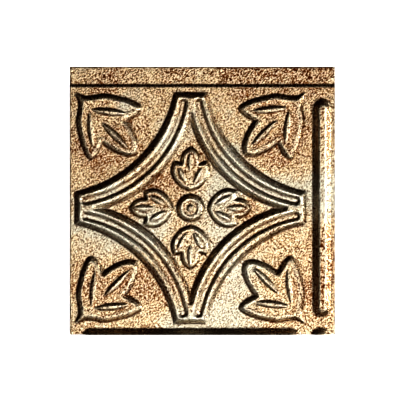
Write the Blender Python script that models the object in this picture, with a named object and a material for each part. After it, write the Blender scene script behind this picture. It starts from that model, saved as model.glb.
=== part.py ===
"""Vinyl backsplash panel: one cut piece of a vacuum-formed sheet with a pressed tin-tile pattern.

The piece is a corner of the panel. It holds one whole repeat of the pattern: a four-pointed ring of
double beads, a centre button in four trefoils, a three-leaved sprig in each corner, and the bars that
run between repeats. Along its top edge lies the lowered strip that the next panel overlaps.

The sheet lies flat with its relief up. Seen from above, +X is right and +Y is up. The height of the
relief is one function of place. The lines where the surface bends (feet, crests, channel floors, ribs)
are sampled and triangulated, and each point takes its height from that function. The back is the same
surface one sheet thickness lower, so the relief is hollow behind, as on any formed sheet.
"""
import math

import bmesh
import bpy
import numpy as np
from mathutils import Vector
from mathutils.geometry import delaunay_2d_cdt

# Sheet and repeat
PITCH = 0.1524                # one repeat of the pattern, 6 inches
SHEET = 0.00076               # vinyl sheet, 0.030 inch thick

# Cut edges of the piece, measured from the centre of the pattern
LEFT_EDGE = -0.0701
RIGHT_EDGE = 0.0837
BOTTOM_EDGE = -0.0733
TOP_EDGE = 0.0821

# Overlap strip along the top edge
STRIP_WIDTH = 0.0117
STRIP_DROP = 0.0010           # how far the strip lies below the field
STRIP_RISER = 0.0005          # run of the sloping step between them

# Ring: bands between circles whose centres lie on the diagonals, (c, c) from the pattern's centre
RING_HEIGHT = 0.0025
RING_WALL = 0.0024            # run of its sloping sides
RING_REACH = 0.0658           # pattern centre to the flat end of each point
OUTER_CENTRE = 0.0820
OUTER_RADIUS = 0.0755
INNER_CENTRE = 0.0704
INNER_RADIUS = 0.0722
CHANNEL_CENTRE = 0.07365      # the channel between the two beads follows this circle
CHANNEL_RADIUS = 0.0703
CHANNEL_END = 0.0608          # how far out along an axis its centre line goes
CHANNEL_FLOOR = 0.0013        # height of its floor above the field
CHANNEL_RIDGE = 0.0017        # height of the low ridge along its middle
CHANNEL_FLOOR_HALF = 0.0019   # half width at the floor
CHANNEL_EDGE_HALF = 0.0036    # half width at the top

# Bars between repeats
BAR_HEIGHT = 0.0034
BAR_HALF = 0.00465            # half width at the foot
BAR_WALL = 0.0023
BAR_HALF_LENGTH = 0.0624

# Button at the centre: radius and height of each turn of its profile
BUTTON_PROFILE = ((0.0, 0.0017), (0.0010, 0.0015), (0.0017, 0.0011), (0.0027, 0.0019),
                  (0.0043, 0.0021), (0.0053, 0.0023), (0.0073, 0.0))

# Plain button where two rows of bars meet
CORNER_BUTTON_PROFILE = ((0.0, 0.0025), (0.0030, 0.0025), (0.0050, 0.0))

# Leaf motifs, as (across, out) from the pattern's centre along the motif's own axis.
# Each run goes from the motif's base towards its middle leaf, and runs meet at sharp corners.
SPRIG_HEIGHT = 0.0020
SPRIG_WALL = 0.0025
SPRIG_RUNS = (
    ((0.0, 0.0930), (0.0018, 0.0887), (0.0057, 0.0852), (0.0109, 0.0813), (0.0162, 0.0735),
     (0.0195, 0.0670), (0.0207, 0.0617), (0.0172, 0.0606), (0.0131, 0.0615), (0.0090, 0.0627)),
    ((0.0090, 0.0627), (0.0084, 0.0588), (0.0066, 0.0524), (0.0037, 0.0472), (0.0, 0.0448)),
)
SPRIG_SLOTS = (
    ((0.0, 0.0721), (0.0, 0.0500), 0.0046),
    ((0.0014, 0.0809), (0.0143, 0.0651), 0.0040),
    ((-0.0014, 0.0809), (-0.0143, 0.0651), 0.0040),
)
TREFOIL_HEIGHT = 0.0019
TREFOIL_WALL = 0.0020
TREFOIL_RUNS = (
    ((0.0, 0.0101), (0.0046, 0.0119), (0.0084, 0.0154), (0.0106, 0.0194), (0.0108, 0.0232),
     (0.0096, 0.0269)),
    ((0.0096, 0.0269), (0.0054, 0.0261)),
    ((0.0054, 0.0261), (0.0052, 0.0290), (0.0036, 0.0326), (0.0, 0.0353)),
)
TREFOIL_SLOTS = (
    ((0.0, 0.0214), (0.0, 0.0325), 0.0026),
    ((0.0026, 0.0142), (0.0072, 0.0238), 0.0021),
    ((-0.0026, 0.0142), (-0.0072, 0.0238), 0.0021),
)
SLOT_DEPTH = 0.0010           # how deep the almond recess in a leaf is
SLOT_WALL_SHARE = 0.35        # run of its wall, as a share of its half width
RIB_HEIGHT = 0.0006           # rib along the recess, above its floor
RIB_HALF_SHARE = 0.35         # half width of the rib, as a share of the recess's half width

# How finely round lines are cut into straight ones
ARC_STEPS = 16                # along each quarter of the ring
END_STEPS = 4                 # around each round end of a channel
BAR_END_STEPS = 8
BUTTON_STEPS = 20
SPRIG_STEPS = 2               # between two points of a sprig's outline
TREFOIL_STEPS = 2
SLOT_STEPS = 5                # along each side of a recess
CUT_STEPS = 3                 # where the lower cut runs through a bar's round end
MERGE_DISTANCE = 1e-6
SHARP_DEGREES = 12            # a bend above this is shaded as an edge


def ramp(depth, width):
    """0 at the foot, 1 once `depth` reaches `width`, and a straight slope between."""
    return np.clip(depth / width, 0.0, 1.0)


def turned(points, degrees):
    """The points turned about the pattern's centre, anticlockwise."""
    angle = math.radians(degrees)
    across = np.array((math.cos(angle), math.sin(angle)))
    out = np.array((-math.sin(angle), math.cos(angle)))
    points = np.asarray(points, dtype=float)
    return points[:, :1] * across + points[:, 1:] * out


def smooth_run(points, steps):
    """A Catmull-Rom curve through the points, without the last one."""
    points = np.asarray(points, dtype=float)
    padded = np.vstack([2 * points[0] - points[1], points, 2 * points[-1] - points[-2]])
    t = np.linspace(0.0, 1.0, steps, endpoint=False)[:, None]
    pieces = []
    for a, b, c, d in zip(padded, padded[1:], padded[2:], padded[3:]):
        curve = 2 * b + (c - a) * t + (2 * a - 5 * b + 4 * c - d) * t**2 + (3 * b - a - 3 * c + d) * t**3
        pieces.append(curve / 2)
    return np.vstack(pieces)


def motif_outline(runs, steps):
    """The closed outline of a leaf motif: its runs, then the same runs mirrored on the way back."""
    half = np.vstack([smooth_run(run, steps) for run in runs] + [np.array([runs[-1][-1]])])
    back = half[-2:0:-1] * np.array((-1.0, 1.0))
    return np.vstack([half, back])


def slot_outline(start, end, half_width, steps):
    """An almond between two points: both sides are parabolas over the line that joins them."""
    start = np.array(start)
    end = np.array(end)
    along = end - start
    side = np.array((-along[1], along[0])) / np.hypot(*along)
    t = np.linspace(0.0, 1.0, steps + 1)[:, None]
    bulge = half_width * 4 * t * (1 - t)
    right = start + along * t + side * bulge
    left = start + along * t - side * bulge
    return np.vstack([right[:-1], left[:0:-1]])


def distance_to_segments(x, y, starts, ends):
    """Shortest distance from each place to any of the segments."""
    along = ends - starts
    length_squared = (along**2).sum(axis=1)
    dx = x[:, None] - starts[:, 0]
    dy = y[:, None] - starts[:, 1]
    t = np.clip((dx * along[:, 0] + dy * along[:, 1]) / length_squared, 0.0, 1.0)
    return np.hypot(dx - t * along[:, 0], dy - t * along[:, 1]).min(axis=1)


def depth_inside(x, y, outline):
    """Distance from each place to the closed outline, positive inside it and negative outside."""
    ends = np.roll(outline, -1, axis=0)
    distance = distance_to_segments(x, y, outline, ends)
    above_start = outline[:, 1] > y[:, None]
    above_end = ends[:, 1] > y[:, None]
    rise = np.where(ends[:, 1] == outline[:, 1], 1.0, ends[:, 1] - outline[:, 1])
    crossing = outline[:, 0] + (y[:, None] - outline[:, 1]) * (ends[:, 0] - outline[:, 0]) / rise
    hits = ((above_start != above_end) & (x[:, None] < crossing)).sum(axis=1)
    return np.where(hits % 2 == 1, distance, -distance)


def inset(outline, distance):
    """The outline moved inwards. Points that the move brings too near another side are dropped."""
    before = outline - np.roll(outline, 1, axis=0)
    after = np.roll(outline, -1, axis=0) - outline
    area = np.sum(outline[:, 0] * np.roll(outline[:, 1], -1) - np.roll(outline[:, 0], -1) * outline[:, 1])
    turn = math.copysign(1.0, area)
    normals = []
    for edge in (before, after):
        unit = edge / np.hypot(edge[:, 0], edge[:, 1])[:, None]
        normals.append(np.column_stack([-unit[:, 1], unit[:, 0]]) * turn)
    middle = normals[0] + normals[1]
    moved = outline + middle * (2 * distance / (middle**2).sum(axis=1))[:, None]
    kept = depth_inside(moved[:, 0], moved[:, 1], outline) > 0.97 * distance
    return moved[kept]


def channel_distance(x, y):
    """Distance from the centre line of the nearest channel, which is an arc with two ends."""
    ax = np.abs(x)
    ay = np.abs(y)
    short_leg = CHANNEL_CENTRE - CHANNEL_END
    long_leg = math.sqrt(CHANNEL_RADIUS**2 - short_leg**2)
    end_near = CHANNEL_CENTRE - long_leg
    half_angle = math.atan2(long_leg, short_leg) - math.radians(45)
    angle = np.arctan2(CHANNEL_CENTRE - ay, CHANNEL_CENTRE - ax) - math.radians(45)
    on_arc = np.abs(np.hypot(ax - CHANNEL_CENTRE, ay - CHANNEL_CENTRE) - CHANNEL_RADIUS)
    to_ends = np.minimum(np.hypot(ax - end_near, ay - CHANNEL_END), np.hypot(ax - CHANNEL_END, ay - end_near))
    return np.where(np.abs(angle) <= half_angle, on_arc, to_ends)


def ring_cusp():
    """How far out along an axis the star-shaped field inside the ring comes to a point."""
    return INNER_CENTRE - math.sqrt(INNER_RADIUS**2 - INNER_CENTRE**2)


def ring_height(x, y):
    """Band between the outer and inner circles, cut off flat at its points, less its channels."""
    ax = np.abs(x)
    ay = np.abs(y)
    outer = np.hypot(ax - OUTER_CENTRE, ay - OUTER_CENTRE) - OUTER_RADIUS
    inner = INNER_RADIUS - np.hypot(ax - INNER_CENTRE, ay - INNER_CENTRE)
    cusp = ring_cusp()
    long_side = INNER_CENTRE - np.minimum(ax, ay)
    short_side = INNER_CENTRE - np.maximum(ax, ay)
    beyond_cusp = short_side * INNER_CENTRE < long_side * (INNER_CENTRE - cusp)
    from_cusp = np.hypot(np.minimum(ax, ay), np.maximum(ax, ay) - cusp)
    inner = np.where(beyond_cusp, from_cusp, inner)
    depth = np.minimum(np.minimum(outer, RING_REACH - np.maximum(ax, ay)), inner)
    channel = np.interp(channel_distance(x, y), (0.0, CHANNEL_FLOOR_HALF, CHANNEL_EDGE_HALF),
                        (CHANNEL_RIDGE, CHANNEL_FLOOR, RING_HEIGHT))
    return np.minimum(RING_HEIGHT * ramp(depth, RING_WALL), channel)


def bar_height(along, across):
    """A bar with round ends and sloping sides."""
    past_end = np.maximum(np.abs(along) - (BAR_HALF_LENGTH - BAR_HALF), 0.0)
    return BAR_HEIGHT * ramp(BAR_HALF - np.hypot(past_end, across), BAR_WALL)


def button_height(x, y, profile):
    """A round button, from its profile of radius and height."""
    radii, heights = zip(*profile)
    return np.interp(np.hypot(x, y), radii, heights)


def motif_height(x, y, outline, slots, height, wall):
    """A leaf motif: a raised body with an almond recess in each leaf and a rib along each recess."""
    body = height * ramp(depth_inside(x, y, outline), wall)
    for start, end, half_width in slots:
        edge = slot_outline(start, end, half_width, 2 * SLOT_STEPS)
        depth = depth_inside(x, y, edge)
        recess = SLOT_DEPTH * ramp(depth, SLOT_WALL_SHARE * half_width)
        off_axis = distance_to_segments(x, y, np.array([start]), np.array([end]))
        rib = RIB_HEIGHT * ramp(RIB_HALF_SHARE * half_width - off_axis, RIB_HALF_SHARE * half_width)
        body = body - np.maximum(recess - rib * (depth > 0), 0.0)
    return body


def relief_height(x, y):
    """Height of the relief above the sheet's field at each place."""
    x = np.asarray(x, dtype=float)
    y = np.asarray(y, dtype=float)
    height = ring_height(x, y)
    height = np.maximum(height, bar_height(y, x - PITCH / 2))
    height = np.maximum(height, bar_height(x, y + PITCH / 2))
    height = np.maximum(height, button_height(x, y, BUTTON_PROFILE))
    height = np.maximum(height, button_height(x - PITCH / 2, y + PITCH / 2, CORNER_BUTTON_PROFILE))
    for degrees in (0, 90, 180, 270):
        for runs, slots, steps, tall, wall, offset in MOTIFS:
            place = turned(np.column_stack([x, y]), -(degrees + offset))
            outline = motif_outline(runs, 2 * steps)
            height = np.maximum(height, motif_height(place[:, 0], place[:, 1], outline, slots, tall, wall))
    return height


def sheet_height(x, y):
    """Height of the back of the sheet: the lowered strip, the step, and the relief on the field."""
    field = STRIP_DROP * ramp(TOP_EDGE - STRIP_WIDTH + STRIP_RISER - y, STRIP_RISER)
    return field + relief_height(x, y)


MOTIFS = (
    (SPRIG_RUNS, SPRIG_SLOTS, SPRIG_STEPS, SPRIG_HEIGHT, SPRIG_WALL, 45),
    (TREFOIL_RUNS, TREFOIL_SLOTS, TREFOIL_STEPS, TREFOIL_HEIGHT, TREFOIL_WALL, 0),
)


def arc(centre, radius, start, end, steps):
    """Points along a circle from one angle to another, both ends included."""
    angles = np.linspace(start, end, steps + 1)
    return np.column_stack([centre[0] + radius * np.cos(angles), centre[1] + radius * np.sin(angles)])


def circle(centre, radius, steps):
    """Points of a full circle."""
    return arc(centre, radius, 0.0, 2 * math.pi, steps)[:-1]


def four_quarters(quarter):
    """A closed line made of one quarter's points, turned into the other three."""
    return np.vstack([turned(quarter, degrees) for degrees in (0, 90, 180, 270)])


def ring_outer_line(inward):
    """The ring's outer outline, moved inwards: one arc and one flat end for each quarter."""
    radius = OUTER_RADIUS + inward
    reach = RING_REACH - inward
    short_leg = OUTER_CENTRE - reach
    spread = math.asin(short_leg / radius)
    start = math.pi + math.pi / 2 - spread
    return four_quarters(arc((OUTER_CENTRE, OUTER_CENTRE), radius, start, math.pi + spread, ARC_STEPS))


def ring_inner_line(inward):
    """The edge of the star-shaped field inside the ring, moved into the ring: arcs and round points."""
    cusp = ring_cusp()
    spread = math.atan2(INNER_CENTRE - cusp, INNER_CENTRE)
    start = math.pi + math.pi / 2 - spread
    side = arc((INNER_CENTRE, INNER_CENTRE), INNER_RADIUS - inward, start, math.pi + spread, ARC_STEPS)
    if inward == 0.0:
        return four_quarters(side[:-1])
    point = arc((0.0, cusp), inward, spread, math.pi - spread, END_STEPS)[1:-1]
    return four_quarters(np.vstack([side, point]))


def channel_line(half_width):
    """One channel's edge at a given half width: two arcs and two round ends."""
    spread = math.asin((CHANNEL_CENTRE - CHANNEL_END) / CHANNEL_RADIUS)
    start = math.pi + spread
    end = math.pi + math.pi / 2 - spread
    centre = (CHANNEL_CENTRE, CHANNEL_CENTRE)
    tips = [arc(centre, CHANNEL_RADIUS, angle, angle, 1)[0] for angle in (start, end)]
    inner = arc(centre, CHANNEL_RADIUS + half_width, start, end, ARC_STEPS)
    far_end = arc(tips[1], half_width, end, end + math.pi, END_STEPS)[1:-1]
    outer = arc(centre, CHANNEL_RADIUS - half_width, end, start, ARC_STEPS)
    near_end = arc(tips[0], half_width, start + math.pi, start + 2 * math.pi, END_STEPS)[1:-1]
    return np.vstack([inner, far_end, outer, near_end])


def channel_ridge():
    """The open line along the middle of one channel."""
    spread = math.asin((CHANNEL_CENTRE - CHANNEL_END) / CHANNEL_RADIUS)
    return arc((CHANNEL_CENTRE, CHANNEL_CENTRE), CHANNEL_RADIUS, math.pi + spread,
               math.pi + math.pi / 2 - spread, ARC_STEPS)


def bar_line(half_width):
    """A bar's outline at a given half width, lying along X about the origin."""
    end = BAR_HALF_LENGTH - BAR_HALF
    right = arc((end, 0.0), half_width, -math.pi / 2, math.pi / 2, BAR_END_STEPS)
    left = arc((-end, 0.0), half_width, math.pi / 2, 3 * math.pi / 2, BAR_END_STEPS)
    return np.vstack([right, left])


def bend_lines():
    """Every line where the surface bends, as pairs of points and whether the line is closed."""
    lines = [(ring_outer_line(0.0), True), (ring_outer_line(RING_WALL), True),
             (ring_inner_line(0.0), True), (ring_inner_line(RING_WALL), True)]
    for degrees in (0, 90, 180, 270):
        lines.append((turned(channel_line(CHANNEL_EDGE_HALF), degrees), True))
        lines.append((turned(channel_line(CHANNEL_FLOOR_HALF), degrees), True))
        lines.append((turned(channel_ridge(), degrees), False))
    for half_width in (BAR_HALF, BAR_HALF - BAR_WALL):
        bar = bar_line(half_width)
        lines.append((bar + np.array((0.0, -PITCH / 2)), True))
        lines.append((turned(bar, 90) + np.array((PITCH / 2, 0.0)), True))
    for radius, _ in BUTTON_PROFILE[1:]:
        lines.append((circle((0.0, 0.0), radius, BUTTON_STEPS), True))
    for radius, _ in CORNER_BUTTON_PROFILE[1:]:
        lines.append((circle((PITCH / 2, -PITCH / 2), radius, BUTTON_STEPS), True))
    for degrees in (0, 90, 180, 270):
        for runs, slots, steps, _, wall, offset in MOTIFS:
            outline = motif_outline(runs, steps)
            crest = inset(motif_outline(runs, 2 * steps), wall)[::2]
            lines.append((turned(outline, degrees + offset), True))
            lines.append((turned(crest, degrees + offset), True))
            for start, end, half_width in slots:
                edge = slot_outline(start, end, half_width, SLOT_STEPS)
                floor = inset(edge, SLOT_WALL_SHARE * half_width)
                lines.append((turned(edge, degrees + offset), True))
                lines.append((turned(floor, degrees + offset), True))
                rib = np.linspace(start, end, SLOT_STEPS + 1)[1:-1]
                lines.append((turned(rib, degrees + offset), False))
    return lines


def cut_outline():
    """The cut edges. The lower one runs through the wall of a bar, and bends at the bar's round ends."""
    above_bar_centre = BOTTOM_EDGE + PITCH / 2
    foot_past_end = math.sqrt(BAR_HALF**2 - above_bar_centre**2)
    bends = BAR_HALF_LENGTH - BAR_HALF + np.linspace(foot_past_end, 0.0, CUT_STEPS + 1)[1:]
    lower = [(x, BOTTOM_EDGE) for x in (LEFT_EDGE, *-bends, *bends[::-1], RIGHT_EDGE)]
    return np.array(lower + [(RIGHT_EDGE, TOP_EDGE), (LEFT_EDGE, TOP_EDGE)])


def sheet_plan():
    """Triangulate the piece's outline with every bend line in it. Returns points and triangles."""
    riser_foot = TOP_EDGE - STRIP_WIDTH + STRIP_RISER
    riser_top = TOP_EDGE - STRIP_WIDTH
    lines = [(cut_outline(), True)]
    for y in (riser_top, riser_foot):
        lines.append((np.array([(LEFT_EDGE, y), (RIGHT_EDGE, y)]), False))
    lines += bend_lines()
    points = []
    edges = []
    for line, closed in lines:
        first = len(points)
        points.extend(Vector(point) for point in line)
        count = len(line)
        edges.extend((first + i, first + i + 1) for i in range(count - 1))
        if closed:
            edges.append((first + count - 1, first))
    places, _, faces, *_ = delaunay_2d_cdt(points, edges, [], 0, MERGE_DISTANCE)
    places = np.array(places)
    faces = np.array(faces)
    middle = places[faces].mean(axis=1)
    inside = (middle[:, 0] > LEFT_EDGE) & (middle[:, 0] < RIGHT_EDGE)
    inside &= (middle[:, 1] > BOTTOM_EDGE) & (middle[:, 1] < TOP_EDGE)
    return places, faces[inside]


def vinyl_material():
    """Vinyl with a printed bronze film, half metallic and satin."""
    material = bpy.data.materials.new("bronze_vinyl")
    material.use_nodes = True
    shader = material.node_tree.nodes["Principled BSDF"]
    shader.inputs["Base Color"].default_value = (0.58, 0.40, 0.20, 1.0)
    shader.inputs["Metallic"].default_value = 0.5
    shader.inputs["Roughness"].default_value = 0.4
    return material


def build_panel():
    """The formed sheet: front, back, and the cut edge between them."""
    places, faces = sheet_plan()
    used, faces = np.unique(faces, return_inverse=True)
    places = places[used]
    faces = faces.reshape(-1, 3)
    back = sheet_height(places[:, 0], places[:, 1])
    middle = ((LEFT_EDGE + RIGHT_EDGE) / 2, (BOTTOM_EDGE + TOP_EDGE) / 2)
    shell = bmesh.new()
    front_points = []
    back_points = []
    for (x, y), z in zip(places - middle, back):
        front_points.append(shell.verts.new((x, y, z + SHEET)))
        back_points.append(shell.verts.new((x, y, z)))
    for a, b, c in faces:
        shell.faces.new((front_points[a], front_points[b], front_points[c]))
        shell.faces.new((back_points[c], back_points[b], back_points[a]))
    directed = {(int(face[i]), int(face[(i + 1) % 3])) for face in faces for i in range(3)}
    for a, b in sorted(directed):
        if (b, a) not in directed:
            shell.faces.new((front_points[b], front_points[a], back_points[a], back_points[b]))
    bmesh.ops.triangulate(shell, faces=[face for face in shell.faces if len(face.verts) > 3])
    mesh = bpy.data.meshes.new("panel")
    shell.to_mesh(mesh)
    shell.free()
    mesh.materials.append(vinyl_material())
    mesh.shade_smooth()
    mesh.set_sharp_from_angle(angle=math.radians(SHARP_DEGREES))
    panel = bpy.data.objects.new("panel", mesh)
    bpy.context.scene.collection.objects.link(panel)
    print("panel:", len(mesh.vertices), "points,", len(mesh.polygons), "triangles,",
          "size", tuple(round(side, 5) for side in panel.dimensions))


for old in list(bpy.data.objects):
    bpy.data.objects.remove(old, do_unlink=True)
build_panel()
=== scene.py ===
# %% [markdown]
# # A formed vinyl backsplash panel
#
# The object is one thin sheet of vinyl. It was heated and sucked onto a mould, so every bar, bead and
# leaf is the same sheet, pushed up. Its front carries a printed film that looks like old bronze.
# We could model each ornament as its own mesh and join them, but then the joins would show. A formed
# sheet has exactly one height above each place, so here the whole front is one function of x and y,
# worked out on a grid, and the back is the same function one sheet thickness lower.
#
# The first step loads the packed frame, which brings the measured part.

# %% Load the frame
import math

import bpy
import numpy as np
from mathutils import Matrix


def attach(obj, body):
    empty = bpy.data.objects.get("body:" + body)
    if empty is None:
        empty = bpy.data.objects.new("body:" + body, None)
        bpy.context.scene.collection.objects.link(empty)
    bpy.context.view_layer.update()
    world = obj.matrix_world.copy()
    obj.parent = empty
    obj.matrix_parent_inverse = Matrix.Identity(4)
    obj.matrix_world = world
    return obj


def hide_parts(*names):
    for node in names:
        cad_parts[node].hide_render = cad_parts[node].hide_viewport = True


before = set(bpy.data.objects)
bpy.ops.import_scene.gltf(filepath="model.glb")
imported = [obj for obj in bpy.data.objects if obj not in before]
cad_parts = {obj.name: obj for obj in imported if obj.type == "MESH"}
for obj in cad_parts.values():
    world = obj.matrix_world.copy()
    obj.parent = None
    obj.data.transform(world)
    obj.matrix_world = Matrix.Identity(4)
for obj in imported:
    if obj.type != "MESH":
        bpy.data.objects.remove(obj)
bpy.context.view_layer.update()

# %% [markdown]
# ## Sizes
#
# The pattern of such panels repeats every six inches, and everything else follows from that pitch,
# in metres. The cut edges are given from the centre of the pattern, because that is where the
# ornament is symmetric, while the frame's own origin is the middle of the cut sheet. We could build
# round the frame's origin instead, but then every fold below would need two offsets.

# %% Sheet, repeat and cut
PITCH = 0.1524
SHEET = 0.00076
LEFT_EDGE = -0.0701
RIGHT_EDGE = 0.0837
BOTTOM_EDGE = -0.0733
TOP_EDGE = 0.0821
PANEL_X = RIGHT_EDGE - LEFT_EDGE
PANEL_Y = TOP_EDGE - BOTTOM_EDGE
PATTERN_X = -(LEFT_EDGE + RIGHT_EDGE) / 2
PATTERN_Y = -(BOTTOM_EDGE + TOP_EDGE) / 2
print("pattern centre in the frame:", round(PATTERN_X, 5), round(PATTERN_Y, 5))

# %% [markdown]
# ## How formed plastic bends
#
# Hot vinyl never makes a hard corner. A wall starts with a hollow curve at its foot, may run straight
# for a while, and rolls over at the crest. One eased curve gives all three, so each ornament only has
# to say how far a place lies inside its outline. We could bevel sharp walls instead, but a bevel has
# one width everywhere, while here foot and crest get their own. Where two surfaces meet, a rounded
# minimum keeps the sheet smooth across the line.


# %% Eased curves
def ease(t):
    """3t^2 - 2t^3 between 0 and 1: level at both ends and steepest in the middle."""
    t = np.clip(t, 0.0, 1.0)
    return t * t * (3.0 - 2.0 * t)


def wall(depth, foot, turn, crest, straight=0.0):
    """Share of a wall's height, 0 at the foot and 1 at the crest. Up to the turn it is a hollow
    parabola, then it runs straight for a while, and above that it is a rounded parabola. All three
    have the slope 2 / (crest - foot + straight) where they meet."""
    slope = 2.0 / (crest - foot + straight)
    hollow = slope * (depth - foot)**2 / (2.0 * (turn - foot))
    ramp = slope * ((turn - foot) / 2.0 + depth - turn)
    rounded = 1.0 - slope * (crest - depth)**2 / (2.0 * (crest - turn - straight))
    share = np.where(depth < turn, hollow, np.where(depth < turn + straight, ramp, rounded))
    return np.where(depth <= foot, 0.0, np.where(depth >= crest, 1.0, share))


def rounded_min(a, b, blend):
    """The smaller of two heights. Within `blend` of each other they are joined by a parabola."""
    overlap = np.clip(blend - np.abs(a - b), 0.0, None)
    return np.minimum(a, b) - overlap**2 / (4.0 * blend)


print("height half way up an eased step:", ease(0.5))

# %% [markdown]
# ## The ring
#
# The ring is a diamond with hollow sides. Each side lies between two circles whose centres are on the
# diagonals. Two beads run along it, with a channel between them that ends in a round nose, and a low
# ridge follows the middle of the channel. Four copies of a swept curve would leave seams at the
# points. Folding the plane instead puts every place in one quarter, so one side stands for all four:
# `near` is the smaller of |x| and |y|, and `far` the larger. Walls are given as foot, turn, crest and
# straight run, all counted inwards from the outline.

# %% Ring sizes
RING_HEIGHT = 0.0025
RING_WALL = (-0.0017, -0.0005, 0.0029, 0.0010)
RING_REACH = 0.0658
OUTER_CENTRE = 0.0820
OUTER_RADIUS = 0.0752
INNER_CENTRE = 0.0704
INNER_RADIUS = 0.0722
CHANNEL_CENTRE = 0.07365
CHANNEL_RADIUS = 0.0703
CHANNEL_END = 0.0608
CHANNEL_FLOOR = 0.0011
CHANNEL_WALL = (0.0010, 0.0018, 0.0039)
RIDGE_HEIGHT = 0.0002
RIDGE_HALF = 0.0013
CREST_BLEND = 0.0002


# %% Distances in the ring
def ring_depth(near, far):
    """How far a place lies inside the ring: the least of the distances to the outer circle, the
    inner circle, the flat end of a point, and the cusp of the field inside."""
    outer = np.hypot(near - OUTER_CENTRE, far - OUTER_CENTRE) - OUTER_RADIUS
    inner = INNER_RADIUS - np.hypot(near - INNER_CENTRE, far - INNER_CENTRE)
    cusp = INNER_CENTRE - math.sqrt(INNER_RADIUS**2 - INNER_CENTRE**2)
    past_cusp = (INNER_CENTRE - far) * INNER_CENTRE < (INNER_CENTRE - near) * (INNER_CENTRE - cusp)
    inner = np.where(past_cusp, np.hypot(near, far - cusp), inner)
    return np.minimum(np.minimum(outer, RING_REACH - far), inner)


def channel_distance(near, far):
    """Distance from the middle of the nearest channel, an arc that stops at CHANNEL_END."""
    short_leg = CHANNEL_CENTRE - CHANNEL_END
    long_leg = math.sqrt(CHANNEL_RADIUS**2 - short_leg**2)
    on_arc = np.abs(np.hypot(near - CHANNEL_CENTRE, far - CHANNEL_CENTRE) - CHANNEL_RADIUS)
    to_end = np.hypot(near - (CHANNEL_CENTRE - long_leg), far - CHANNEL_END)
    past_end = (CHANNEL_CENTRE - far) * long_leg < (CHANNEL_CENTRE - near) * short_leg
    return np.where(past_end, to_end, on_arc)


# %% Ring heights
def ring_height(near, far):
    """The eased wall of the ring, cut down to the channel's own profile where that is lower."""
    sides = RING_HEIGHT * wall(ring_depth(near, far), *RING_WALL)
    off_middle = channel_distance(near, far)
    ridge = RIDGE_HEIGHT * (1.0 - ease(off_middle / RIDGE_HALF))
    channel = CHANNEL_FLOOR + (RING_HEIGHT - CHANNEL_FLOOR) * wall(off_middle, *CHANNEL_WALL) + ridge
    return np.maximum(rounded_min(sides, channel, CREST_BLEND), 0.0)


SAMPLES = 200
inner_edge = INNER_CENTRE - INNER_RADIUS / math.sqrt(2)
outer_edge = OUTER_CENTRE - OUTER_RADIUS / math.sqrt(2)
across_ring = np.linspace(inner_edge, outer_edge, SAMPLES)
ring_top = ring_height(across_ring, across_ring).max()
print("highest point across the ring:", round(ring_top * 1000, 2), "mm")

# %% [markdown]
# ## Bars and buttons
#
# A bar is every place within a set distance of a straight line, which gives it round ends. A button is
# turned, so its height depends only on the distance from its middle. The centre button has a raised
# rim, a shallow dish and a nub in the dish. A cylinder with bevels would do for either, but it would
# stand on the sheet and not grow out of it. The lower bar and the corner button belong to the next
# tile and are cut through, and on this piece their row sits a little inside the six inch pitch.

# %% Bar and button sizes
BAR_HEIGHT = 0.0034
BAR_HALF = 0.00465
BAR_WALL = (-0.0014, 0.0004, 0.0037, 0.0019)
BAR_HALF_LENGTH = 0.0624
LOWER_ROW = -0.0751
BUTTON_RADIUS = 0.0074
BUTTON_HEIGHT = 0.0022
BUTTON_WALL = (-0.0013, 0.0004, 0.0022)
DISH_DEPTH = 0.0004
DISH_RADII = (0.0038, 0.0050)
NUB_HEIGHT = 0.0008
NUB_RADII = (0.0009, 0.0023)
CORNER_BUTTON_RADIUS = 0.0051
CORNER_BUTTON_HEIGHT = 0.0030


# %% Bar and button heights
def bar_height(along, across):
    """Eased wall over the distance from the bar's straight middle line."""
    past_end = np.maximum(np.abs(along) - (BAR_HALF_LENGTH - BAR_HALF), 0.0)
    return BAR_HEIGHT * wall(BAR_HALF - np.hypot(past_end, across), *BAR_WALL)


def button_height(radius):
    """A turned wall, less the dish inside its rim, plus the nub in the middle of the dish."""
    rim = BUTTON_HEIGHT * wall(BUTTON_RADIUS - radius, *BUTTON_WALL)
    dish = DISH_DEPTH * (1.0 - ease((radius - DISH_RADII[0]) / (DISH_RADII[1] - DISH_RADII[0])))
    nub = NUB_HEIGHT * (1.0 - ease((radius - NUB_RADII[0]) / (NUB_RADII[1] - NUB_RADII[0])))
    return rim - dish + nub


print("bars stand", BAR_HEIGHT * 1000, "mm high and are", 2 * BAR_HALF * 1000, "mm wide")

# %% [markdown]
# ## Leaf outlines
#
# Each corner has a sprig of three leaves, and four smaller trefoils stand round the centre button.
# Both are symmetric about their own axis, so half an outline is enough. It is drawn through a few
# points by a smooth curve, with sharp turns only where two runs meet: in the notches between leaves.
# A curve object could carry the same points, but we need distances to the line, so plain arrays serve.

# %% Leaf outlines
SPRIG_RUNS = (
    ((0.0, 0.0930), (0.0018, 0.0887), (0.0057, 0.0852), (0.0109, 0.0813), (0.0162, 0.0735),
     (0.0195, 0.0670), (0.0207, 0.0617), (0.0172, 0.0606), (0.0131, 0.0615), (0.0090, 0.0627)),
    ((0.0090, 0.0627), (0.0084, 0.0588), (0.0066, 0.0524), (0.0037, 0.0472), (0.0, 0.0448)),
)
TREFOIL_RUNS = (
    ((0.0, 0.0101), (0.0046, 0.0119), (0.0084, 0.0154), (0.0106, 0.0194), (0.0108, 0.0232),
     (0.0096, 0.0269)),
    ((0.0096, 0.0269), (0.0054, 0.0261)),
    ((0.0054, 0.0261), (0.0052, 0.0290), (0.0036, 0.0326), (0.0, 0.0353)),
)
OUTLINE_STEPS = 6


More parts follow.
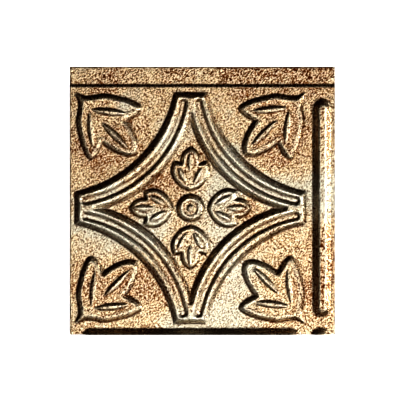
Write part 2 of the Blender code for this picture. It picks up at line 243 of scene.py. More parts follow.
def smooth_run(points):
    """Curve through the points: each stretch is a cubic, and it leaves a point in the direction from
    the point before to the point after."""
    points = np.asarray(points, dtype=float)
    padded = np.vstack([2 * points[0] - points[1], points, 2 * points[-1] - points[-2]])
    a, b, c, d = padded[:-3, None], padded[1:-2, None], padded[2:-1, None], padded[3:, None]
    t = np.linspace(0.0, 1.0, OUTLINE_STEPS, endpoint=False)[None, :, None]
    curve = 2 * b + (c - a) * t + (2 * a - 5 * b + 4 * c - d) * t**2 + (3 * b - a - 3 * c + d) * t**3
    return (curve / 2).reshape(-1, 2)


def motif_outline(runs):
    """Half an outline from its runs, then the same half mirrored on the way back."""
    half = np.vstack([smooth_run(run) for run in runs] + [np.array([runs[-1][-1]])])
    return np.vstack([half, half[-2:0:-1] * np.array((-1.0, 1.0))])


sprig_outline = motif_outline(SPRIG_RUNS)
trefoil_outline = motif_outline(TREFOIL_RUNS)
print("points in a sprig's outline:", len(sprig_outline), "and in a trefoil's:", len(trefoil_outline))

# %% [markdown]
# ## How far inside a leaf
#
# The mould's walls follow the leaf outline at an even width. So each place needs its distance to the
# nearest stretch of the outline, with a sign that says whether it lies inside. Arrays make this one
# sum over places and stretches at once, where a loop over both would take minutes.


# %% Distances to an outline
def distance_to_lines(x, y, starts, ends):
    """Shortest distance from each place to any of the straight stretches."""
    along = ends - starts
    dx = x[:, None] - starts[:, 0]
    dy = y[:, None] - starts[:, 1]
    t = np.clip((dx * along[:, 0] + dy * along[:, 1]) / (along**2).sum(axis=1), 0.0, 1.0)
    return np.hypot(dx - t * along[:, 0], dy - t * along[:, 1]).min(axis=1)


def depth_inside(x, y, outline):
    """Distance to a closed outline, positive inside. A place is inside when a line drawn from it
    towards +X crosses the outline an odd number of times."""
    ends = np.roll(outline, -1, axis=0)
    rise = np.where(ends[:, 1] == outline[:, 1], 1.0, ends[:, 1] - outline[:, 1])
    crossing = outline[:, 0] + (y[:, None] - outline[:, 1]) * (ends[:, 0] - outline[:, 0]) / rise
    between = (outline[:, 1] > y[:, None]) != (ends[:, 1] > y[:, None])
    inside = (between & (x[:, None] < crossing)).sum(axis=1) % 2 == 1
    distance = distance_to_lines(x, y, outline, ends)
    return np.where(inside, distance, -distance)


on_axis = sprig_outline[:, 1]
deepest = depth_inside(np.zeros_like(on_axis), on_axis, sprig_outline).max()
print("the middle of a sprig lies", round(deepest * 1000, 1), "mm inside its outline")

# %% [markdown]
# ## Ribs and lips on the leaves
#
# A thin lip runs along the edge of every leaf, because the top dips a little inside it. On each leaf
# stands one rib in the shape of an almond: wide in the middle and pointed at both ends. The mould of
# the corner sprigs looks cut by hand, since their ribs don't sit exactly on the middle lines. We
# shift them by a small distance that each corner has for itself. Ribs as meshes of their own would
# need a seam round each, and as a height to be added they simply grow out of the leaf.

# %% Leaf and rib sizes
SPRIG_HEIGHT = 0.0020
SPRIG_WALL = (-0.0014, -0.0003, 0.0023)
SPRIG_RIB_RISE = 0.0011
SPRIG_RIBS = (
    ((0.0, 0.0715), (0.0, 0.0497), 0.0022),
    ((0.0008, 0.0806), (0.0139, 0.0645), 0.0023),
    ((-0.0008, 0.0806), (-0.0139, 0.0645), 0.0023),
)
RIB_ASIDE = {(-1, 1): 0.00125, (1, 1): -0.0005, (-1, -1): -0.00075, (1, -1): 0.00125}
TREFOIL_HEIGHT = 0.0019
TREFOIL_WALL = (-0.0008, 0.0004, 0.0019)
TREFOIL_RIB_RISE = 0.0008
TREFOIL_RIBS = (
    ((0.0, 0.0212), (0.0, 0.0328), 0.0022),
    ((0.0020, 0.0141), (0.0072, 0.0238), 0.0020),
    ((-0.0020, 0.0141), (-0.0072, 0.0238), 0.0020),
)
RIB_WALL = (0.0, 0.22, 1.0)
ALMOND_FULLNESS = 0.7
LIP_DROP = 0.0002
LIP_WIDTH = 0.0013


# %% Leaf heights
def almond_depth(u, v, start, end, half_width):
    """Distance inside an almond. Its half width follows (4t(1 - t))^0.7 from its start to its end."""
    along = np.subtract(end, start)
    length = math.hypot(*along)
    t = ((u - start[0]) * along[0] + (v - start[1]) * along[1]) / length**2
    off_axis = np.abs((u - start[0]) * along[1] - (v - start[1]) * along[0]) / length
    inside_run = np.clip(t, 0.0, 1.0)
    return half_width * (4 * inside_run * (1 - inside_run))**ALMOND_FULLNESS - off_axis


def motif_height(u, v, aside, outline, height, profile, ribs, rib_rise):
    """The motif's own wall, less the dip inside its lip, plus one rib for each leaf, an almond that
    lies `aside` of the leaf's middle line."""
    inside = depth_inside(u, v, outline)
    body = height * wall(inside, *profile) - LIP_DROP * ease((inside - profile[2]) / LIP_WIDTH)
    for start, end, half_width in ribs:
        depth = almond_depth(u - aside, v, start, end, half_width)
        body = body + rib_rise * wall(depth / half_width, *RIB_WALL)
    return body


print("a sprig stands", SPRIG_HEIGHT * 1000, "mm high and a trefoil", TREFOIL_HEIGHT * 1000)

# %% [markdown]
# ## The whole relief
#
# The sprigs lie on the diagonals and the trefoils on the axes. Folding the plane maps all four copies
# on one, so each motif is worked out once, and only for the places near it. The strip that the next
# panel laps over lies a little lower than the field, behind a small step. Boolean unions could join
# the forms too, but the greatest of all heights at a place does the same without any cutting.

# %% Strip and relief
STRIP_WIDTH = 0.0117
STRIP_DROP = 0.0010
STRIP_WALL = (-0.0016, -0.0004, 0.0002)
MOTIF_MARGIN = 0.0015


def add_motif(height, across, out, aside, outline, *shape):
    """Raises `height` to the motif's own height at the places near its outline's box."""
    low, high = outline.min(axis=0) - MOTIF_MARGIN, outline.max(axis=0) + MOTIF_MARGIN
    near = (across > low[0]) & (across < high[0]) & (out > low[1]) & (out < high[1])
    raised = motif_height(across[near], out[near], aside[near], outline, *shape)
    height[near] = np.maximum(height[near], raised)


def relief(x, y):
    """Height of the back of the sheet over the floor, x and y being counted from the frame's origin."""
    x = x - PATTERN_X
    y = y - PATTERN_Y
    near = np.minimum(np.abs(x), np.abs(y))
    far = np.maximum(np.abs(x), np.abs(y))
    height = np.maximum(ring_height(near, far), button_height(np.hypot(x, y)))
    height = np.maximum(height, bar_height(y, x - PITCH / 2))
    height = np.maximum(height, bar_height(x, y - LOWER_ROW))
    corner_depth = CORNER_BUTTON_RADIUS - np.hypot(x + LOWER_ROW, y - LOWER_ROW)
    height = np.maximum(height, CORNER_BUTTON_HEIGHT * wall(corner_depth, *BAR_WALL))
    aside = np.zeros_like(x)
    add_motif(height, near, far, aside, trefoil_outline,
              TREFOIL_HEIGHT, TREFOIL_WALL, TREFOIL_RIBS, TREFOIL_RIB_RISE)
    for (side_x, side_y), distance in RIB_ASIDE.items():
        aside[(x * side_x > 0) & (y * side_y > 0)] = distance
    across = (np.abs(x) - np.abs(y)) / math.sqrt(2)
    out = (near + far) / math.sqrt(2)
    add_motif(height, across, out, aside, sprig_outline,
              SPRIG_HEIGHT, SPRIG_WALL, SPRIG_RIBS, SPRIG_RIB_RISE)
    field = STRIP_DROP * wall(TOP_EDGE - STRIP_WIDTH - y, *STRIP_WALL)
    return height + field


strip_middle = np.array([(PANEL_Y - STRIP_WIDTH) / 2])
print("back of the strip over the floor:", relief(np.zeros(1), strip_middle)[0])

# %% [markdown]
# ## From heights to a closed sheet
#
# The front has a point about every half millimetre, which is what the finest rib needs. The back is
# seen less, so it has half as many points each way. A knife presses the cut edge down a little, so
# the front drops towards the rim in its last 0.8 mm. Around the rim, one face joins two front cells
# to one back cell, which closes the sheet without a gap. A Solidify modifier could also give the
# thickness, but it would spend as many faces on the back as on the front.

# %% Grid of the sheet
BACK_CELLS_X = 138
BACK_CELLS_Y = 139
FRONT_PER_BACK = 2
EDGE_DROP = 0.0002
EDGE_WIDTH = 0.0008


def grid_points(cells_x, cells_y, lift):
    """Points over the cut sheet, row by row: place from two parameters, height from the relief."""
    along_x = np.linspace(-PANEL_X / 2, PANEL_X / 2, cells_x + 1)
    along_y = np.linspace(-PANEL_Y / 2, PANEL_Y / 2, cells_y + 1)
    x, y = (places.ravel() for places in np.meshgrid(along_x, along_y))
    return np.column_stack([x, y, relief(x, y) + lift])


def grid_faces(cells_x, cells_y, first, upward):
    """Four corners of every cell, turned so that the face looks up or down."""
    corner = (np.arange(cells_y)[:, None] * (cells_x + 1) + np.arange(cells_x)).ravel() + first
    faces = np.column_stack([corner, corner + 1, corner + cells_x + 2, corner + cells_x + 1])
    return faces if upward else faces[:, ::-1]


def rim_path(cells_x, cells_y):
    """Grid indices once round the edge, anticlockwise seen from the front, without repeats."""
    row = cells_x + 1
    lower = np.arange(cells_x)
    right = np.arange(cells_y) * row + cells_x
    upper = cells_y * row + np.arange(cells_x, 0, -1)
    left = np.arange(cells_y, 0, -1) * row
    return np.concatenate([lower, right, upper, left])


# %% Front and back of the sheet
front_x = BACK_CELLS_X * FRONT_PER_BACK
front_y = BACK_CELLS_Y * FRONT_PER_BACK
front = grid_points(front_x, front_y, SHEET)
back = grid_points(BACK_CELLS_X, BACK_CELLS_Y, 0.0)
to_edge = np.minimum(PANEL_X / 2 - np.abs(front[:, 0]), PANEL_Y / 2 - np.abs(front[:, 1]))
front[:, 2] -= EDGE_DROP * (1.0 - ease(to_edge / EDGE_WIDTH))
print("front cells:", front_x, "by", front_y, "of", round(PANEL_X / front_x * 1000, 2), "mm")

# %% Mesh of the sheet
front_rim = rim_path(front_x, front_y)
back_rim = rim_path(BACK_CELLS_X, BACK_CELLS_Y) + len(front)
start, middle, end = front_rim[0::2], front_rim[1::2], np.roll(front_rim[0::2], -1)
rim_faces = np.column_stack([end, middle, start, back_rim, np.roll(back_rim, -1)])
front_faces = grid_faces(front_x, front_y, 0, True)
back_faces = grid_faces(BACK_CELLS_X, BACK_CELLS_Y, len(front), False)

sheet_mesh = bpy.data.meshes.new("formed_sheet")
all_faces = front_faces.tolist() + back_faces.tolist() + rim_faces.tolist()
sheet_mesh.from_pydata(np.vstack([front, back]).tolist(), [], all_faces)
sheet_mesh.validate()
sheet = bpy.data.objects.new("formed_sheet", sheet_mesh)
bpy.context.scene.collection.objects.link(sheet)
triangles = 2 * (len(front_faces) + len(back_faces)) + 3 * len(rim_faces)
print("formed sheet:", len(sheet_mesh.vertices), "points,", triangles, "triangles")

# %% [markdown]
# ## Smooth front, sharp cut
#
# The formed sheet is smooth everywhere except where the knife went. Smooth shading alone would also
# round the cut edge, and the rim would look swollen. So the edges along both rims are marked sharp.
# An angle limit could find them as well, but here we know exactly which edges they are.

# %% Sharp rim
sheet_mesh.shade_smooth()
rim_edges = {(min(a, b), max(a, b)) for ring in (front_rim, back_rim)
             for a, b in zip(ring.tolist(), np.roll(ring, -1).tolist())}
edge_ends = np.zeros(len(sheet_mesh.edges) * 2, dtype=np.int32)
sheet_mesh.edges.foreach_get("vertices", edge_ends)
sharp = [(min(a, b), max(a, b)) in rim_edges for a, b in edge_ends.reshape(-1, 2).tolist()]
sheet_mesh.attributes.new("sharp_edge", "BOOLEAN", "EDGE").data.foreach_set("value", sharp)
print("sharp edges:", sum(sharp))

# %% [markdown]
# ## Values that the film reads
#
# The finish changes from place to place, and the mesh can carry such values as attributes, one number
# for each point. The small helper below stores an array under a name, and the material asks for that
# name. The first one says where the printed side is, because back and cut edge are bare vinyl. Two
# materials on one mesh would show that as well, but the part has one slot, so one film covers both.


# %% Printed side
def store(name, values):
    """Keeps one number for each point of the sheet."""
    sheet_mesh.attributes.new(name, "FLOAT", "POINT").data.foreach_set("value", values)


store("printed", np.concatenate([np.ones(len(front)), np.zeros(len(back))]))
print("printed points:", len(front))

# %% [markdown]
# ## Where the film is pale and where it is rusty
#
# The printed film is not even: cream patches and rusty ones a few centimetres wide lie where the
# printing cylinder put them. Noise alone would put them anywhere, so 38 soft spots, set after the
# photograph, give their places, and finer noise in the material breaks their edges up. Each spot
# is a place and a radius.

# %% Tone of the film
PALE_SPOTS = (
    (0.0680, 0.0070, 0.014), (0.0520, 0.0080, 0.010), (0.0400, 0.0140, 0.009), (0.0190, 0.0120, 0.012),
    (0.0180, -0.0120, 0.013), (-0.0610, -0.0080, 0.012), (-0.0450, -0.0130, 0.011),
    (-0.0260, -0.0120, 0.013), (0.0180, -0.0660, 0.017), (-0.0060, -0.0690, 0.012),
    (-0.0390, 0.0600, 0.009), (-0.0120, 0.0420, 0.011), (0.0240, 0.0280, 0.009),
    (0.0790, 0.0080, 0.010), (-0.0460, 0.0100, 0.009), (0.0300, -0.0380, 0.010),
)
RUST_SPOTS = (
    (0.0770, -0.0400, 0.013), (0.0700, -0.0500, 0.010), (0.0770, -0.0210, 0.009),
    (0.0250, 0.0780, 0.011), (0.0400, 0.0780, 0.014), (0.0580, 0.0780, 0.014), (0.0780, 0.0790, 0.012),
    (-0.0100, 0.0790, 0.008), (-0.0440, 0.0780, 0.010), (-0.0500, 0.0670, 0.010),
    (-0.0330, 0.0450, 0.012), (-0.0500, 0.0260, 0.013), (-0.0180, 0.0140, 0.010),
    (0.0600, 0.0460, 0.014), (0.0500, 0.0300, 0.013),
    (0.0340, -0.0030, 0.008), (-0.0380, -0.0030, 0.008), (-0.0340, -0.0440, 0.012),
    (-0.0160, -0.0450, 0.012), (-0.0580, -0.0460, 0.010), (-0.0620, 0.0370, 0.009),
    (0.0000, 0.0310, 0.007),
)


def spots(x, y, places):
    """Sum of round spots that fade as exp(-(distance / radius)^2)."""
    total = np.zeros_like(x)
    for spot_x, spot_y, radius in places:
        total += np.exp(-((x - spot_x)**2 + (y - spot_y)**2) / radius**2)
    return total


points = np.vstack([front, back])
from_x = points[:, 0] - PATTERN_X
from_y = points[:, 1] - PATTERN_Y
tone = np.clip(spots(from_x, from_y, RUST_SPOTS) - spots(from_x, from_y, PALE_SPOTS), -1.0, 1.0)
store("tone", tone)
print("tone from", round(tone.min(), 2), "(pale) to", round(tone.max(), 2), "(rust)")

# %% [markdown]
# ## Where shade and highlights are painted
#
# Shade is painted into the film: the corners at the foot of each wall are darkened, and steep walls a
# little too, while painted highlights lighten the crests. A corner is where the sheet bends upwards on
# both sides, so the second differences of the height find it, and a crest has the opposite sign.
# The light comes from the right, so walls that face right get hardly any painted shade at their
# feet. Painting by hand would do as well, but bend and slope are already in the numbers.

# %% Corners and walls
FULL_CORNER = 0.0012
FULL_SLOPE = 1.1
# Walls that face the light on the right get less of the painted shade at their feet
FACING_LIGHT_SLOPE = 0.1
LESS_SHADE_FACING_LIGHT = 0.95


def painted_shade_shares(heights, cells_x, cells_y):
    """Two shares for each point: how far it is in a corner, from -1 on a crest to 1, which is the sum
    of the second differences of the height along both grid lines, and how steep the sheet is there.
    Where the sheet falls towards +X more than it rises or falls along Y, the wall faces the light on
    the right, and its corner gets less of the painted shade."""
    grid = np.pad(heights.reshape(cells_y + 1, cells_x + 1), 1, mode="edge")
    cell = PANEL_X / cells_x
    beside = grid[1:-1, 2:] + grid[1:-1, :-2] + grid[2:, 1:-1] + grid[:-2, 1:-1]
    bend = (beside - 4 * grid[1:-1, 1:-1]) / cell**2
    rise_x = (grid[1:-1, 2:] - grid[1:-1, :-2]) / (2 * cell)
    rise_y = (grid[2:, 1:-1] - grid[:-2, 1:-1]) / (2 * cell)
    # Less painted shade where the wall faces the light on the right
    faces_light = ease((-rise_x - np.abs(rise_y)) / FACING_LIGHT_SLOPE) * LESS_SHADE_FACING_LIGHT
    corner = np.clip(bend * FULL_CORNER, -1.0, 1.0)
    corner = np.where(corner > 0.0, corner * (1.0 - faces_light), corner)
    return corner.ravel(), ease(np.hypot(rise_x, rise_y) / FULL_SLOPE).ravel()


# Bend and steepness place the painted shade and the painted highlights; the back gets none
corner_share, steep_share = painted_shade_shares(front[:, 2], front_x, front_y)
no_painted_shade = np.zeros(len(back))
store("corner", np.concatenate([corner_share, no_painted_shade]))
store("steep", np.concatenate([steep_share, no_painted_shade]))
print("corner from", round(corner_share.min(), 2), "(crest) to", round(corner_share.max(), 2))

# %% [markdown]
# ## Writing shader maths as Python
#
# A shader is a graph of nodes, and long graphs are hard to read as code. Here a small class holds one
# output socket, and adding or multiplying two of them adds the Math node that does it. Every other
# node comes from one method: first its type, then its settings, then what goes into its sockets.


# %% One wire of a shader
class Wire:
    """One output socket of a node tree, with the arithmetic that Math nodes offer."""

    def __init__(self, tree, socket=None):
        self.tree = tree
        self.socket = socket

    def node(self, kind, settings, inputs, output=0):
        """Adds a node, makes its settings, fills or links its sockets, and returns one output."""
        made = self.tree.nodes.new(kind)
        for name, value in settings.items():
            setattr(made, name, value)
        for name, value in inputs.items():
            if isinstance(value, Wire):
                self.tree.links.new(value.socket, made.inputs[name])
            else:
                made.inputs[name].default_value = value
        return Wire(self.tree, made.outputs[output])

    def math(self, operation, first, second):
        return self.node("ShaderNodeMath", {"operation": operation}, {0: first, 1: second})

    def __add__(self, other):
        return self.math("ADD", self, other)

    def __radd__(self, other):
        return self.math("ADD", other, self)

    def __sub__(self, other):
        return self.math("SUBTRACT", self, other)

    def __rsub__(self, other):
        return self.math("SUBTRACT", other, self)

    def __mul__(self, other):
        return self.math("MULTIPLY", self, other)

    def __rmul__(self, other):
        return self.math("MULTIPLY", other, self)


print("reflected operators:", [name for name in vars(Wire) if name.startswith("__r")])

# %% [markdown]
# ## A few patterns
#
# The film needs the same few things again and again: a value kept between 0 and 1, a range stretched
# to 0..1, a mix of two colours, and noise of a given size. Each gets a short name here, so that the
# film itself reads like a recipe. The flecks and strokes of the print lean along one diagonal, which
# a Mapping node gives by turning the place and stretching it along the turned axis.

# %% Pattern helpers
LEAN = math.radians(45)
# Places of the colour sockets on a Mix node
MIX_SHARE = 0
MIX_FIRST = 6
MIX_SECOND = 7
MIX_RESULT = 2


def clamp(value):
    """Cuts off what is below 0 or above 1."""
    return value.node("ShaderNodeClamp", {}, {"Value": value})


def stretch(value, low, high):
    """Stretches the range low..high to 0..1 and clips what is outside."""
    return clamp((value - low) * (1.0 / (high - low)))


def mix(share, first, second):
    """Mixes two colours: 0 gives the first and 1 the second."""
    colours = {MIX_SHARE: share, MIX_FIRST: first, MIX_SECOND: second}
    return share.node("ShaderNodeMix", {"data_type": "RGBA"}, colours, MIX_RESULT)


def noise(place, size, texture):
    """Noise with lumps about `size` metres across, less its middle value of 0.5. The texture says
    how much finer noise lies on the lumps, how rough that is, and how far the lumps are bent."""
    values = {"Vector": place, "Scale": 1.0 / size} | texture
    return place.node("ShaderNodeTexNoise", {}, values) - 0.5


def leaning(place, longer):
    """The place turned by the lean, so that a pattern becomes `longer` times as long along it."""
    return place.node("ShaderNodeMapping", {"vector_type": "TEXTURE"},
                      {"Vector": place, "Rotation": (0.0, 0.0, LEAN), "Scale": (longer, 1.0, 1.0)})


print("flecks and strokes lean", round(math.degrees(LEAN)), "degrees")

# %% [markdown]
# ## The bronze film: gold, cream and rust
#
# Old bronze has a gold body, cream where it was rubbed and rust brown where it was left. The film
# prints those as drifting patches with long strokes in them. Each patch colour gets a share from 0 to
# 1: the tone that the mesh carries says roughly where, a slow drift moves the borders, and the strokes
# fray them. Mixing fixed bands would be simpler, but its borders would look cut out.

# %% Patches of the film
GOLD = (0.67, 0.46, 0.25, 1.0)
PALE = (0.63, 0.57, 0.43, 1.0)
RUST = (0.38, 0.15, 0.035, 1.0)
DRIFT_SIZE = 0.018
DRIFT_TEXTURE = {"Detail": 4.0, "Roughness": 0.6, "Distortion": 0.4}
STROKE_SIZE = 0.0038
STROKE_LENGTH = 2.8
STROKE_TEXTURE = {"Detail": 4.0, "Roughness": 0.65, "Distortion": 0.6}
RUST_PULLS = {"tone": 0.65, "strokes": 2.4}
RUST_RANGE = (0.08, 0.72)
PALE_PULLS = {"tone": -0.60, "strokes": -1.0}
PALE_RANGE = (-0.05, 0.50)


def patch_shares(place, tone_there, strokes):
    """Shares of rust and of cream. Both follow tone, drift and strokes, with opposite signs."""
    drift = noise(place, DRIFT_SIZE, DRIFT_TEXTURE)
    to_rust = tone_there * RUST_PULLS["tone"] + drift + strokes * RUST_PULLS["strokes"]
    to_pale = tone_there * PALE_PULLS["tone"] - drift + strokes * PALE_PULLS["strokes"]
    return stretch(to_rust, *RUST_RANGE), stretch(to_pale, *PALE_RANGE)


print("patches are", DRIFT_SIZE * 1000, "mm across and strokes", STROKE_SIZE * 1000, "mm wide")

# %% [markdown]
# ## The bronze film: flecks
#
# Over the patches lies a close crackle of dark and light flecks, about as wide as the sheet is thick.
# Smooth noise gives them soft shapes, and the random colour of small cells makes neighbours differ.
# They are strongest in the rust, where few light ones are left, and calm under painted highlights.
# A picture of real flecks would repeat itself, and this pattern never does.

# %% Flecks of the film
# Colours of the light flecks, also used for the painted highlights on the crests
LIGHT_FLECK_AND_HIGHLIGHT = (1.00, 0.87, 0.64, 1.0)
WHITE_FLECK_AND_HIGHLIGHT = (0.92, 0.88, 0.73, 1.0)
FLECK_DARK = (0.090, 0.022, 0.002, 1.0)
FLECK_SIZE = 0.0006
FLECK_LENGTH = 1.9
FLECK_TEXTURE = {"Detail": 1.0, "Roughness": 0.6, "Distortion": 0.3}
CELL_PULL = 0.8
GRAIN_PULL = 9.0
FLECK_STRENGTH = 1.05
MORE_IN_RUST = 0.70
LESS_IN_PALE = 0.45
LESS_ON_CRESTS = 0.45
LIGHT_LOST_IN_RUST = 0.40
DARK_PULL = 1.1
DARK_GAINED_IN_RUST = 0.20


def fleck_pattern(lean):
    """Smooth grain plus one random value for each cell, both with their middle at 0."""
    cells = lean.node("ShaderNodeTexVoronoi", {}, {"Vector": lean, "Scale": 1.0 / FLECK_SIZE}, "Color")
    cell = lean.node("ShaderNodeSeparateColor", {}, {"Color": cells}, "Red")
    return (cell - 0.5) * CELL_PULL + noise(lean, FLECK_SIZE, FLECK_TEXTURE) * GRAIN_PULL


def fleck_shares(fleck, rust_share, pale_share, painted_highlight):
    """Shares of light and of dark flecks: the two sides of the pattern, times its strength here."""
    strength = FLECK_STRENGTH + rust_share * MORE_IN_RUST - pale_share * LESS_IN_PALE
    # Flecks are calmer under the painted highlights on the crests
    strength = strength * (1.0 - painted_highlight * LESS_ON_CRESTS)
    light_share = clamp(fleck * strength - rust_share * LIGHT_LOST_IN_RUST)
    dark_share = clamp(fleck * strength * -DARK_PULL + rust_share * DARK_GAINED_IN_RUST)
    return light_share, dark_share


fleck_length = FLECK_SIZE * FLECK_LENGTH
print("flecks are", FLECK_SIZE * 1000, "mm wide and", round(fleck_length * 1000, 2), "mm long")

# %% [markdown]
# ## The bronze film: layers
#
# The layers go on in this order: body, patches, painted highlights on the crests, flecks, painted
# shade in corners and on walls, and where nothing is printed, bare vinyl. Each layer is one Mix node
# with its own share, so any of them can be taken out or moved without touching the others.

# %% Layers of the film
# Nearly black colour of the painted shade in corners and on steep walls
PAINTED_SHADE = (0.060, 0.012, 0.001, 1.0)
BARE_VINYL = (0.16, 0.15, 0.14, 1.0)
LIGHT_FLECK_COVER = 0.8


def film_colour(shares, light_share, dark_share):
    """Body, patches, painted crest highlights, flecks, painted shade, and bare vinyl where nothing is
    printed.
    """
    fleck_and_highlight_colour = mix(shares["pale"], LIGHT_FLECK_AND_HIGHLIGHT, WHITE_FLECK_AND_HIGHLIGHT)
    colour = mix(shares["pale"], GOLD, PALE)
    colour = mix(shares["rust"], colour, RUST)
    # Painted highlight: crests are lightened towards the light fleck colour
    colour = mix(shares["painted_highlight"], colour, fleck_and_highlight_colour)
    colour = mix(light_share * LIGHT_FLECK_COVER, colour, fleck_and_highlight_colour)
    colour = mix(dark_share, colour, FLECK_DARK)
    # Painted shade: corners at the foot of walls and steep walls are darkened
    colour = mix(shares["painted_shade"], colour, PAINTED_SHADE)
    return mix(shares["printed"], BARE_VINYL, colour)


print("the glaze is nearly black:", PAINTED_SHADE[:3])

# %% [markdown]
# ## The bronze film: the material
#
# The film has a metal layer, so it mirrors its surroundings softly: level parts show the lamp
# overhead, and walls show whatever stands near the horizon on their side. A plain diffuse paint would
# need far higher walls for the same contrast. The flecks are also slightly raised, and a Bump node
# shows that without any more points in the mesh. First come the shares that the layers need, and then
# the four sockets of the shader that change over the sheet.

# %% Shares over the sheet
# How sharp a crest must be for the painted highlight, and how strongly it lightens
PAINTED_HIGHLIGHT_RANGE = (0.22, 0.60)
PAINTED_HIGHLIGHT_COVER = 0.9
# How far into a corner and how much on steep walls the painted shade reaches
PAINTED_SHADE_RANGE = (0.20, 0.90)
PAINTED_SHADE_IN_CORNER = 0.72
PAINTED_SHADE_ON_WALL = 0.08

material = bpy.data.materials.new("bronze_film")
material.use_nodes = True
film = Wire(material.node_tree)
place = film.node("ShaderNodeTexCoord", {}, {}, "Object")
carried = {name: film.node("ShaderNodeAttribute", {"attribute_name": name}, {}, "Fac")
           for name in ("tone", "corner", "steep", "printed")}
strokes = noise(leaning(place, STROKE_LENGTH), STROKE_SIZE, STROKE_TEXTURE)
rust_share, pale_share = patch_shares(place, carried["tone"], strokes)
# Painted highlight on the crests, where the sheet bends down on both sides
painted_highlight = stretch(carried["corner"] * -1.0, *PAINTED_HIGHLIGHT_RANGE) * PAINTED_HIGHLIGHT_COVER
in_corner = stretch(carried["corner"], *PAINTED_SHADE_RANGE)
# Painted shade in the corners at the foot of walls and, a little, on steep walls
painted_shade = clamp(in_corner * PAINTED_SHADE_IN_CORNER + carried["steep"] * PAINTED_SHADE_ON_WALL)
fleck = fleck_pattern(leaning(place, FLECK_LENGTH))
light_share, dark_share = fleck_shares(fleck, rust_share, pale_share, painted_highlight)
print("nodes for the shares:", len(material.node_tree.nodes))

# %% Film material
METAL = 0.985
METAL_LOST_IN_DARK = 0.06
ROUGHNESS = 0.33
SMOOTHER_ON_WALL = 0.07
ROUGHER_IN_DARK = 0.12
ROUGHER_IN_STROKES = 0.08
VINYL_GLOSS = 0.10
RAISED_PATTERN = 0.5
RAISED_BY = 0.00009
BUMP_STRENGTH = 0.8

shares = {"rust": rust_share, "pale": pale_share, "painted_highlight": painted_highlight, "painted_shade": painted_shade,
          "printed": carried["printed"]}
rough_here = ROUGHNESS - carried["steep"] * SMOOTHER_ON_WALL + dark_share * ROUGHER_IN_DARK
raised = fleck * RAISED_PATTERN + strokes * RAISED_PATTERN
finish = {
    "Base Color": film_colour(shares, light_share, dark_share),
    "Metallic": carried["printed"] * (METAL - dark_share * METAL_LOST_IN_DARK),
    "Roughness": rough_here + strokes * ROUGHER_IN_STROKES,
    "Normal": film.node("ShaderNodeBump", {}, {"Strength": BUMP_STRENGTH, "Distance": RAISED_BY,
                                               "Height": raised}),
}
shader = material.node_tree.nodes["Principled BSDF"]
for name, wire in finish.items():
    material.node_tree.links.new(wire.socket, shader.inputs[name])
shader.inputs["Specular IOR Level"].default_value = VINYL_GLOSS
sheet_mesh.materials.append(material)
print("nodes in the film:", len(material.node_tree.nodes))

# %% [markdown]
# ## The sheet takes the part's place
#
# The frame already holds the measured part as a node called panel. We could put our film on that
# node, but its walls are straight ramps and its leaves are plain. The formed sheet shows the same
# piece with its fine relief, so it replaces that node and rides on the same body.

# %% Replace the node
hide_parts("panel")
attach(sheet, "root")
print("the sheet replaces the panel node")

# %% [markdown]
# ## The table
#
# The panel lies on a plain white table. The lamps are tuned for the shallow relief and would leave
# the table grey, so it glows a little of its own. A white table would also shine into every steep
# wall of the metal film and wash the dark side out, so the film's mirror doesn't see it.

# %% Table
TABLE_HALF = 1.5
TABLE_WHITE = (0.92, 0.92, 0.92, 1.0)
TABLE_ROUGHNESS = 0.9
GLOW_WHITE = (1.0, 1.0, 1.0, 1.0)
TABLE_GLOW = 0.8
table_corners = [(side_x * TABLE_HALF, side_y * TABLE_HALF, 0.0)
                 for side_x, side_y in ((-1, -1), (1, -1), (1, 1), (-1, 1))]
table_mesh = bpy.data.meshes.new("table")
table_mesh.from_pydata(table_corners, [], [(0, 1, 2, 3)])
table = bpy.data.objects.new("table", table_mesh)
bpy.context.scene.collection.objects.link(table)
white = bpy.data.materials.new("white_table")
white.use_nodes = True
white_shader = white.node_tree.nodes["Principled BSDF"]
white_shader.inputs["Base Color"].default_value = TABLE_WHITE
white_shader.inputs["Roughness"].default_value = TABLE_ROUGHNESS
white_shader.inputs["Emission Color"].default_value = GLOW_WHITE
white_shader.inputs["Emission Strength"].default_value = TABLE_GLOW
table_mesh.materials.append(white)
table.visible_glossy = False
print("table:", 2 * TABLE_HALF, "m square")

# %% [markdown]
# ## The lamps
#
# Seen from straight above, a wall that leans by some angle mirrors what stands twice that angle away
# from the zenith, on its own side. So each lamp lights one kind of place. The one overhead fills the
# level parts. Three high ones and one half way up brighten the crests and feet on the right and on
# the lower side. A low one on the right lights whole walls there. The left and the back stay nearly
# dark, with three dim lamps for the walls that face them, and this contrast is what makes such a
# shallow relief readable. One soft sky would light it more evenly, and the relief would vanish. The
# powers of overhead, high_right, high_front and middle_right come from a fit of single-lamp renders
# to the photograph. The other five were set one by one.

# %% Lamps
LAMP_DISTANCE = 1.6
LAMPS = {
    "overhead": {"azimuth": 20, "elevation": 86, "width": 0.6, "power": 1.5},
    "high_right": {"azimuth": -48, "elevation": 65, "width": 0.5, "power": 6.2},
    "high_front": {"azimuth": -90, "elevation": 65, "width": 0.45, "power": 2.5},
    "middle_right": {"azimuth": -60, "elevation": 45, "width": 0.45, "power": 2.1},
    "high_east": {"azimuth": 0, "elevation": 58, "width": 0.6, "power": 1.2},
    "low_right": {"azimuth": -3, "elevation": 10, "width": 0.5, "power": 11.5},
    "low_left": {"azimuth": -130, "elevation": 15, "width": 0.5, "power": 0.5},
    "left": {"azimuth": -155, "elevation": 34, "width": 0.8, "power": 0.6},
    "low_back": {"azimuth": 45, "elevation": 15, "width": 0.5, "power": 0.5},
}


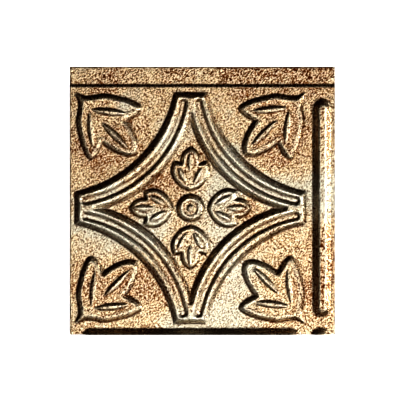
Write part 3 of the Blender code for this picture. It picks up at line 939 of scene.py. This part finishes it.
def lamp(name, azimuth, elevation, width, power):
    """A round lamp at a compass angle from +X and a height angle, facing the panel."""
    light = bpy.data.lights.new(name, "AREA")
    light.shape = "DISK"
    light.size = width
    light.energy = power
    rig = bpy.data.objects.new(name, light)
    turn = math.radians(azimuth)
    rise = math.radians(elevation)
    flat = math.cos(rise) * LAMP_DISTANCE
    rig.location = (flat * math.cos(turn), flat * math.sin(turn), math.sin(rise) * LAMP_DISTANCE)
    rig.rotation_euler = (math.radians(90) - rise, 0.0, turn + math.radians(90))
    bpy.context.scene.collection.objects.link(rig)


for lamp_name, values in LAMPS.items():
    lamp(lamp_name, **values)
print("lamps:", len(LAMPS))

# %% [markdown]
# ## The world around
#
# What no lamp lights would be black. A room always returns a little light, here from brown walls, so
# the darkest walls of the relief keep a trace of the bronze's colour.

# %% World
WORLD_BROWN = (1.0, 0.50, 0.16, 1.0)
WORLD_STRENGTH = 0.014
world = bpy.data.worlds.new("studio")
world.use_nodes = True
background = world.node_tree.nodes["Background"]
background.inputs["Color"].default_value = WORLD_BROWN
background.inputs["Strength"].default_value = WORLD_STRENGTH
bpy.context.scene.world = world
print("world strength:", WORLD_STRENGTH)

# %% [markdown]
# ## The camera
#
# The photograph was taken from straight above, so the camera looks down through a long lens, which
# hardly shows the sides of the relief. An orthographic camera would show none of them at all. Its
# height follows from the width of the picture at the level of the field. A contrasty look deepens
# the dark walls as the photograph does.

# %% Camera
FRAME_WIDTH = 0.2318
LENS = 150.0
SENSOR = 36.0
FAR_CLIP = 10.0
VIEW_X = -0.00133
VIEW_Y = 0.00035
FIELD_LEVEL = STRIP_DROP + SHEET
EXPOSURE = -0.32
view = bpy.data.cameras.new("camera")
view.lens = LENS
view.sensor_width = SENSOR
view.clip_end = FAR_CLIP
camera = bpy.data.objects.new("camera", view)
camera.location = (VIEW_X, VIEW_Y, FIELD_LEVEL + FRAME_WIDTH * LENS / SENSOR)
bpy.context.scene.collection.objects.link(camera)
bpy.context.scene.camera = camera
bpy.context.scene.view_settings.view_transform = "Standard"
bpy.context.scene.view_settings.look = "Very High Contrast"
bpy.context.scene.view_settings.exposure = EXPOSURE
print("camera stands", round(camera.location.z, 3), "m above the table")

# %% [markdown]
